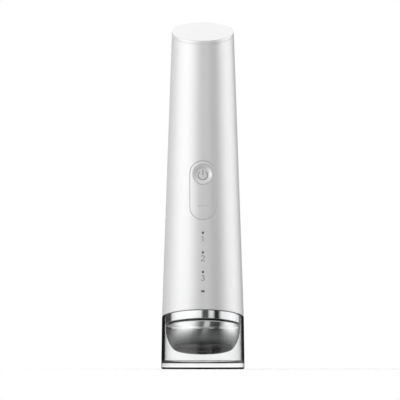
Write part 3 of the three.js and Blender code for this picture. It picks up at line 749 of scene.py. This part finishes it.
# light pipes: a stem with a low crown, given as (share of the way in, depth under the barrel's surface)
lens = dict(centre=0.05, stem=3.0, shoulder=0.12,
            crown=[(0.15, 0.07), (0.4, 0.035), (0.7, 0.02), (0.93, 0.015)])


def makeLens(node):
    outlineOf = roundHole(node)
    reach = min(high(node)[0], (high(node)[2] - low(node)[2]) / 2)
    levels = [(lens["centre"] - reach, lens["stem"]), (0.0, lens["stem"]), (0.0, lens["shoulder"])]
    levels += [(-reach * share, depth) for share, depth in lens["crown"]]
    rings = [onSurface(outlineOf(grow), depth) for grow, depth in levels]
    settle(loft(node.title().replace("_", ""), rings, "smokedLens"), "barrel", node)


for node in lensNodes:
    makeLens(node)
print("lenses made")

# print on the front: a power symbol, a bar on the oval key, and the numbers of the three levels
marks = dict(ink=0.012, sunk=0.03, ringRadius=2.4, ringLine=0.45, gapAngle=38.0, symbolDrop=0.5,
             stemStart=0.1, stemRise=0.6, barLength=5.6, barHeight=1.0, numeralWidth=1.9, numeralHeight=2.8,
             numeralLine=0.38, numeralDrop=3.1, step=0.2)


def onPlainFront(x, z):
    return 0.0


def inkPatch(name, cells, body, finish="printedGrey", depthAt=onPlainFront):
    # flat print: quads given in (x, z), laid on the surface and given a hair of thickness
    points, faces = [], []
    for cell in cells:
        front = len(points)
        for lift in (marks["ink"], -marks["sunk"]):
            for x, z in cell:
                y = math.sqrt(radiusAt(z) ** 2 - x * x) - depthAt(x, z)
                points.append((x, -(y + lift), z))
        n = len(cell)
        faces.append(tuple(range(front, front + n)))
        faces.append(tuple(range(front + 2 * n - 1, front + n - 1, -1)))
        for i in range(n):
            j = (i + 1) % n
            faces.append((front + i, front + j, front + n + j, front + n + i))
    settle(bareMesh(name, points, faces, finish, merge=False), body)


def strokeCells(path, width):
    # a stroke along a path, as one four-sided cell for each step
    left, right = [], []
    for i, (x, z) in enumerate(path):
        (ax, az), (bx, bz) = path[max(i - 1, 0)], path[min(i + 1, len(path) - 1)]
        length = math.hypot(bx - ax, bz - az)
        nx, nz = -(bz - az) / length * width / 2, (bx - ax) / length * width / 2
        left.append((x + nx, z + nz))
        right.append((x - nx, z - nz))
    return [(left[i], left[i + 1], right[i + 1], right[i]) for i in range(len(path) - 1)]


def finer(path):
    # the same path in short steps, so that print follows the barrel's curve
    points = [path[0]]
    for (ax, az), (bx, bz) in zip(path, path[1:]):
        count = max(1, math.ceil(math.hypot(bx - ax, bz - az) / marks["step"]))
        points += [(ax + (bx - ax) * i / count, az + (bz - az) * i / count) for i in range(1, count + 1)]
    return points


def arcPath(cx, cz, radius, start, end, steps):
    angles = [math.radians(start + (end - start) * i / steps) for i in range(steps + 1)]
    return [(cx + radius * math.cos(a), cz + radius * math.sin(a)) for a in angles]


def makePowerMark():
    def inDish(x, z):
        return buttonDepthAt(math.hypot(x, z - buttonMiddle))

    middle = buttonMiddle - marks["symbolDrop"]
    ring = arcPath(0.0, middle, marks["ringRadius"], 90 + marks["gapAngle"], 450 - marks["gapAngle"], 48)
    stem = [(0.0, middle + marks["stemStart"]), (0.0, middle + marks["ringRadius"] + marks["stemRise"])]
    cells = strokeCells(ring, marks["ringLine"]) + strokeCells(finer(stem), marks["ringLine"])
    inkPatch("powerMark", cells, "power_button", depthAt=inDish)


def makeModeMark():
    # a plain bar over the mode key's stem
    middle = (low("mode_switch_body")[2] + high("mode_switch_body")[2]) / 2
    path = finer([(-marks["barLength"] / 2, middle), (marks["barLength"] / 2, middle)])
    inkPatch("modeMark", strokeCells(path, marks["barHeight"]), "mode_key", "printedFaint")


def numeralPaths(digit, width, tall):
    # the strokes of 1, 2 or 3 about their middle
    w, h = width / 2, tall / 2
    if digit == 1:
        return [[(-w * 0.55, h * 0.55), (0.0, h)], [(0.0, h), (0.0, -h)]]
    if digit == 2:
        bow = arcPath(0.0, h * 0.45, h * 0.55, 165, -35, 16)
        return [bow, [bow[-1], (-w * 0.95, -h)], [(-w * 0.95, -h), (w, -h)]]
    upper = arcPath(-w * 0.1, h * 0.52, h * 0.48, 150, -80, 18)
    lower = arcPath(-w * 0.1, -h * 0.46, h * 0.54, 80, -150, 18)
    return [upper, [(-w * 0.2, h * 0.06), (w * 0.1, h * 0.06)], lower]


def makeNumerals():
    for digit, node in enumerate(lensNodes[:3], 1):
        middle = (low(node)[2] + high(node)[2]) / 2 - marks["numeralDrop"]
        cells = []
        for path in numeralPaths(digit, marks["numeralWidth"], marks["numeralHeight"]):
            cells += strokeCells(finer([(x, z + middle) for x, z in path]), marks["numeralLine"])
        inkPatch(f"levelNumeral{digit}", cells, "barrel")


makePowerMark()
makeModeMark()
makeNumerals()
print("marks made")

# port flap: a piece of the barrel's surface with a rounded rim
flap = dict(edge=0.2, thickness=0.7, centre=0.05, rings=6)


def makePortFlap():
    outlineOf = slotShape("port_cover")
    outline = outlineOf(0)
    across, heights = max(x for x, z in outline), [z for x, z in outline]
    reach = min(across, (max(heights) - min(heights)) / 2)
    edge, thickness = flap["edge"], flap["thickness"]
    levels = [(flap["centre"] - reach, thickness), (-reach / 2, thickness), (0.0, thickness)]
    levels += [(-inset, drop) for inset, drop in rounding(edge, 6)]
    face = reach - edge - flap["centre"]
    levels += [(-edge - face * i / flap["rings"], 0.0) for i in range(1, flap["rings"] + 1)]
    rings = [onSurface(outlineOf(grow), depth, 1) for grow, depth in levels]
    settle(loft("portFlap", rings, "softSilicone"), "port_cover", "port_cover")


makePortFlap()
print("port flap made")

# the CAD pieces that stay only get their finish
keptFinish = {
    "sealRubber": ["top_seal", "motor_sleeve"],
    "greyNylon": ["head_carrier", "power_switch_plunger", "mode_switch_plunger", "chassis"],
    "ivoryNylon": ["motor_end_cap"],
    "brightSteel": ["head_screw_1", "head_screw_2", "head_screw_3", "key_hinge_pin", "capacitor",
                    "chassis_screw_1", "chassis_screw_2", "motor_can", "motor_shaft", "usb_socket"],
    "plainBrass": ["contact_spring", "eccentric_weight"],
    "boardGreen": ["main_board", "charge_board"],
    "chipBlack": ["power_switch_body", "mode_switch_body", "control_chip"],
    "pressedFerrite": ["boost_inductor"],
    "ledResin": ["level_led_1", "level_led_2", "level_led_3", "charge_led"],
    "firedCeramic": ["piezo_disc"],
    "shrinkSleeve": ["battery_cell"],
    "closedFoam": ["battery_foam"],
    "leadRed": ["battery_lead_red", "motor_lead_red"],
    "leadBlack": ["battery_lead_black", "motor_lead_black"],
    "leadWhite": ["head_lead_1", "head_lead_2"],
}
for finish, nodes in keptFinish.items():
    for node in nodes:
        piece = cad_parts[node]
        if not piece.material_slots:
            piece.data.materials.append(paint[finish])
        for slot in piece.material_slots:
            slot.material = paint[finish]
print("kept pieces painted")

studio = dict(
    # the floor, in m: lit near the wand and plain white far off
    floorRadius=6.0, floorFacets=96, floorRings=(0.001, 0.03, 0.2, 0.8), floorWhite=0.93,
    shadowRadius=0.16, fadeRadius=0.42,
    # the floor as reflections see it is painted: painted shade darkens it near the wand's foot, and far off
    # it glows like the studio's lower edge, a painted reflection
    nearShadeLevel=0.20, footShadeLevel=0.05, footShadeStart=0.05, footShadeFull=0.02, mirrorHeight=0.02, nearSlope=0.55,
    floorLean=20.0, bandNear=0.006, patternBase=0.55, patternGain=0.5, streakSpan=30.0, streakEdge=0.004,
    # painted light: the floor seen through the clear cap glows pale in place of the light that gets into a
    # clear cup, and what is seen through clear plastic is made brighter than plain white
    paintedCapLight=0.86, capLightInner=0.015, capLightOuter=0.0185, paintedThroughGain=0.1,
    # heights at which one pattern of the world goes over into the next
    lean=15.0, bandHigh=0.010, bandSoft=0.005, upperStart=0.08, upperEnd=0.13, skyStart=0.36, skyEnd=0.56,
    skyBack=1.16, skyFront=0.55, skyTurn=(-0.2, 0.5),
    # brightness round the studio: degrees from the front, to the right, and level
    # band is a thin strip at eye height, and mirror the painted reflection that the floor glows with
    band=[(-180, 0.04), (-113, 0.04), (-103, 1.0), (-84, 1.25), (-20, 1.2), (-6, 1.0), (1, 0.05), (14, 0.05),
          (21, 0.9), (30, 0.9), (37, 0.02), (47, 0.02), (58, 1.0), (98, 1.2), (128, 1.1), (146, 0.05),
          (180, 0.04)],
    middle=[(-180, 0.25), (-132, 0.28), (-108, 0.40), (-84, 0.78), (-56, 1.28), (-36, 1.20), (-20, 0.75),
            (-9, 0.28), (-2, 0.26), (4, 0.48), (14, 0.46), (22, 0.20), (34, 0.14), (47, 0.08), (60, 0.6),
            (84, 1.1), (98, 1.15), (116, 0.8), (142, 0.1), (180, 0.05)],
    upper=[(-180, 0.05), (-122, 0.05), (-98, 0.7), (-78, 1.2), (-52, 1.2), (-34, 1.0), (-20, 0.42),
           (-10, 0.14), (-2, 0.16), (4, 0.62), (14, 0.6), (21, 0.10), (34, 0.05), (48, 0.05), (60, 0.5),
           (74, 1.1), (104, 1.15), (128, 0.5), (142, 0.1), (180, 0.05)],
    mirror=[(-180, 0.05), (-122, 0.04), (-112, 0.08), (-92, 0.40), (-75, 0.95), (-60, 1.15), (-47, 1.12),
            (-33, 0.85), (-20, 0.32), (-8, 0.08), (-2, 0.10), (5, 0.34), (12, 0.30), (20, 0.10), (34, 0.03),
            (48, 0.05), (57, 0.18), (71, 0.75), (87, 1.2), (105, 1.3), (129, 0.45), (142, 0.1), (180, 0.05)],
    # painted reflections: streaks that the floor behind the wand glows with, for its end face to mirror: mm
    # to the right, and level
    paintedStreaks=[(-15, 1.0), (-4.5, 1.0), (-1.4, 0.12), (2.2, 0.12), (3.1, 0.6), (4.5, 0.6), (5.3, 0.08),
             (8.2, 0.12), (11.5, 0.85), (15, 1.0)],
)


def lightPath(nodes):
    return {wire.socket.name: wire for wire in nodes.add("ShaderNodeLightPath").every()}


def seenPlain(path):
    # 1 for what the eye sees straight or through clear plastic, 0 for light that has bounced off a surface
    straight = (path["Glossy Depth"] < 0.5) * (path["Diffuse Depth"] < 0.5)
    eye = path["Is Camera Ray"]
    return eye.math("MAXIMUM", eye, path["Is Transmission Ray"] * straight)


def paintedWallShade(path):
    # 1 for light that has run along inside a clear wall and come out again; the world and the floor send none
    # along such paths, which paints dark edges on clear walls
    once = (path["Transmission Depth"] > 1.5) * (path["Transmission Depth"] < 2.5)
    return path["Is Transmission Ray"] * (path["Glossy Depth"] > 0.5) * once


def azimuthOf(x, y):
    # degrees from the front, to the right
    return x.math("ARCTAN2", x, 0 - y) * (180 / math.pi)


def aroundStudio(nodes, azimuth, pattern):
    # brightness by azimuth; the ramp holds half of it, because a ramp's colours end at 1
    stops = [(place / 360 + 0.5, rgba([bright / 2] * 3)) for place, bright in studio[pattern]]
    return nodes.add("ShaderNodeValToRGB", {"stops": stops}, {"Fac": azimuth / 360 + 0.5}) * 2


def blend(first, second, share):
    return first * (1 - share) + second * share


def makeWorld():
    world = bpy.data.worlds.new("studio")
    bpy.context.scene.world = world
    world.use_nodes = True
    nodes = Nodes(world.node_tree)
    x, y, z = nodes.split(nodes.add("ShaderNodeTexCoord", out="Generated"))
    azimuth = azimuthOf(x, y) - z * studio["lean"]
    inBand = nodes.smooth(z, studio["bandHigh"] + studio["bandSoft"], studio["bandHigh"])
    inUpper = nodes.smooth(z, studio["upperStart"], studio["upperEnd"])
    inSky = nodes.smooth(z, studio["skyStart"], studio["skyEnd"])
    bright = blend(aroundStudio(nodes, azimuth, "middle"), aroundStudio(nodes, azimuth, "band"), inBand)
    bright = blend(bright, aroundStudio(nodes, azimuth, "upper"), inUpper)
    sky = blend(studio["skyFront"], studio["skyBack"], nodes.smooth(y, *studio["skyTurn"]))
    bright = blend(bright, sky, inSky)
    path = lightPath(nodes)
    shown = seenPlain(path)
    # painted light: what is seen through clear plastic is brighter than plain white
    plain = shown * (1 + path["Is Transmission Ray"] * studio["paintedThroughGain"])
    # painted shade: light that ran along inside a clear wall finds the world black
    level = bright * (1 - shown) * (1 - paintedWallShade(path)) + plain
    background = nodes.add("ShaderNodeBackground", None, {"Color": level, "Strength": 1.0})
    nodes.add("ShaderNodeOutputWorld", None, {"Surface": background})


def paintedFloorReflection(nodes, path, x, y, distance):
    # painted reflection: what the floor glows with for reflections, a copy of the studio, flatter rays
    # further out
    slope = studio["mirrorHeight"] / distance
    azimuth = azimuthOf(x, y) + slope * studio["floorLean"]
    inMirror = nodes.smooth(slope, studio["bandNear"], studio["bandNear"] * 2)
    mirrored = blend(aroundStudio(nodes, azimuth, "band"), aroundStudio(nodes, azimuth, "mirror"), inMirror)
    span = studio["streakSpan"]
    stops = [(place / span + 0.5, rgba([bright] * 3)) for place, bright in studio["paintedStreaks"]]
    paintedStreaks = nodes.add("ShaderNodeValToRGB", {"stops": stops}, {"Fac": x / (span * mm) + 0.5})
    behind = nodes.smooth(y, -studio["streakEdge"], studio["streakEdge"])
    # painted shade: the floor in reflections goes darker towards the wand's foot, in place of the shade under
    # it
    deep = nodes.smooth(distance, studio["footShadeStart"], studio["footShadeFull"])
    pattern = blend(studio["patternBase"] + mirrored * studio["patternGain"], paintedStreaks, behind)
    base = blend(studio["nearShadeLevel"], studio["footShadeLevel"], deep) * pattern
    near = nodes.remap(slope, 0.0, studio["nearSlope"])
    # painted shade: the floor too is black to light that ran along inside a clear wall
    return blend(mirrored, base, near * (2 - near)) * (1 - paintedWallShade(path))


def makeFloor():
    facets = studio["floorFacets"]
    rings = [circle(r / mm, 0.0, facets) for r in (*studio["floorRings"], studio["floorRadius"])]
    points = [p for ring in rings for p in ring]
    faces = loftFaces(len(rings), facets)
    faces.append(tuple(range(facets)))
    material, nodes = newMaterial("paleFloor")
    x, y = nodes.split(nodes.place())[:2]
    distance = (x * x + y * y) ** 0.5
    path = lightPath(nodes)
    away = nodes.smooth(distance, studio["shadowRadius"], studio["fadeRadius"])
    inside = nodes.smooth(distance, studio["capLightOuter"], studio["capLightInner"])
    lit = nodes.add("ShaderNodeBsdfDiffuse", None, {"Color": rgba([studio["floorWhite"]] * 3)})
    seen = nodes.mixShaders(away, lit, nodes.glow(1.0))
    # painted light: seen through the clear cap, the floor glows instead of taking light
    seen = nodes.mixShaders(inside * path["Is Transmission Ray"], seen, nodes.glow(studio["paintedCapLight"]))
    shown = seenPlain(path)
    direct = shown.math("MAXIMUM", shown, path["Is Diffuse Ray"])
    surface = nodes.mixShaders(direct, nodes.glow(paintedFloorReflection(nodes, path, x, y, distance)), seen)
    nodes.add("ShaderNodeOutputMaterial", None, {"Surface": surface})
    paint["paleFloor"] = material
    meshPiece("floor", points, faces, "paleFloor")


# soft panels, in m and W, all turned to the middle of the wand
lampAim = 0.09
lamps = [
    dict(name="leftPanel", place=(-0.62, -0.42, 0.16), size=(0.5, 0.8), power=1.4),
    dict(name="leftRear", place=(-0.66, 0.22, 0.14), size=(0.4, 0.8), power=2.9),
    dict(name="rightRear", place=(0.66, 0.16, 0.14), size=(0.3, 0.8), power=1.0),
    dict(name="rightPanel", place=(0.70, -0.30, 0.16), size=(0.35, 0.8), power=0.5),
    dict(name="topPanel", place=(0.0, -0.15, 0.9), size=(0.7, 0.7), power=1.35),
]


def makeLamps():
    for lamp in lamps:
        light = bpy.data.lights.new(lamp["name"], "AREA")
        light.shape = "RECTANGLE"
        light.size, light.size_y = lamp["size"]
        light.energy = lamp["power"]
        holder = bpy.data.objects.new(lamp["name"], light)
        bpy.context.scene.collection.objects.link(holder)
        x, y, z = lamp["place"]
        lean = math.acos((z - lampAim) / math.dist((x, y, z), (0.0, 0.0, lampAim)))
        holder.location = (x, y, z)
        holder.rotation_euler = (lean, 0.0, math.atan2(-y, -x) - math.pi / 2)
        holder.visible_glossy = False
        holder.visible_transmission = False
        holder.visible_camera = False


# a long lens a little above the floor: distance, width of view and aim in m
camera = dict(distance=6.0, width=0.2111, elevation=-0.75, aim=(-0.00153, 0.0, 0.0893), sensor=36.0,
              clipEnd=50.0)


def makeCamera():
    data = bpy.data.cameras.new("camera")
    data.sensor_width = camera["sensor"]
    data.lens = camera["sensor"] * camera["distance"] / camera["width"]
    data.clip_end = camera["clipEnd"]
    holder = bpy.data.objects.new("camera", data)
    bpy.context.scene.collection.objects.link(holder)
    lift = math.radians(camera["elevation"])
    x, y, z = camera["aim"]
    holder.location = (x, y - camera["distance"] * math.cos(lift), z + camera["distance"] * math.sin(lift))
    holder.rotation_euler = (math.pi / 2 - lift, 0.0, 0.0)
    bpy.context.scene.camera = holder


makeWorld()
makeFloor()
makeLamps()
makeCamera()
bpy.context.scene.view_settings.view_transform = "Standard"
print("studio made")
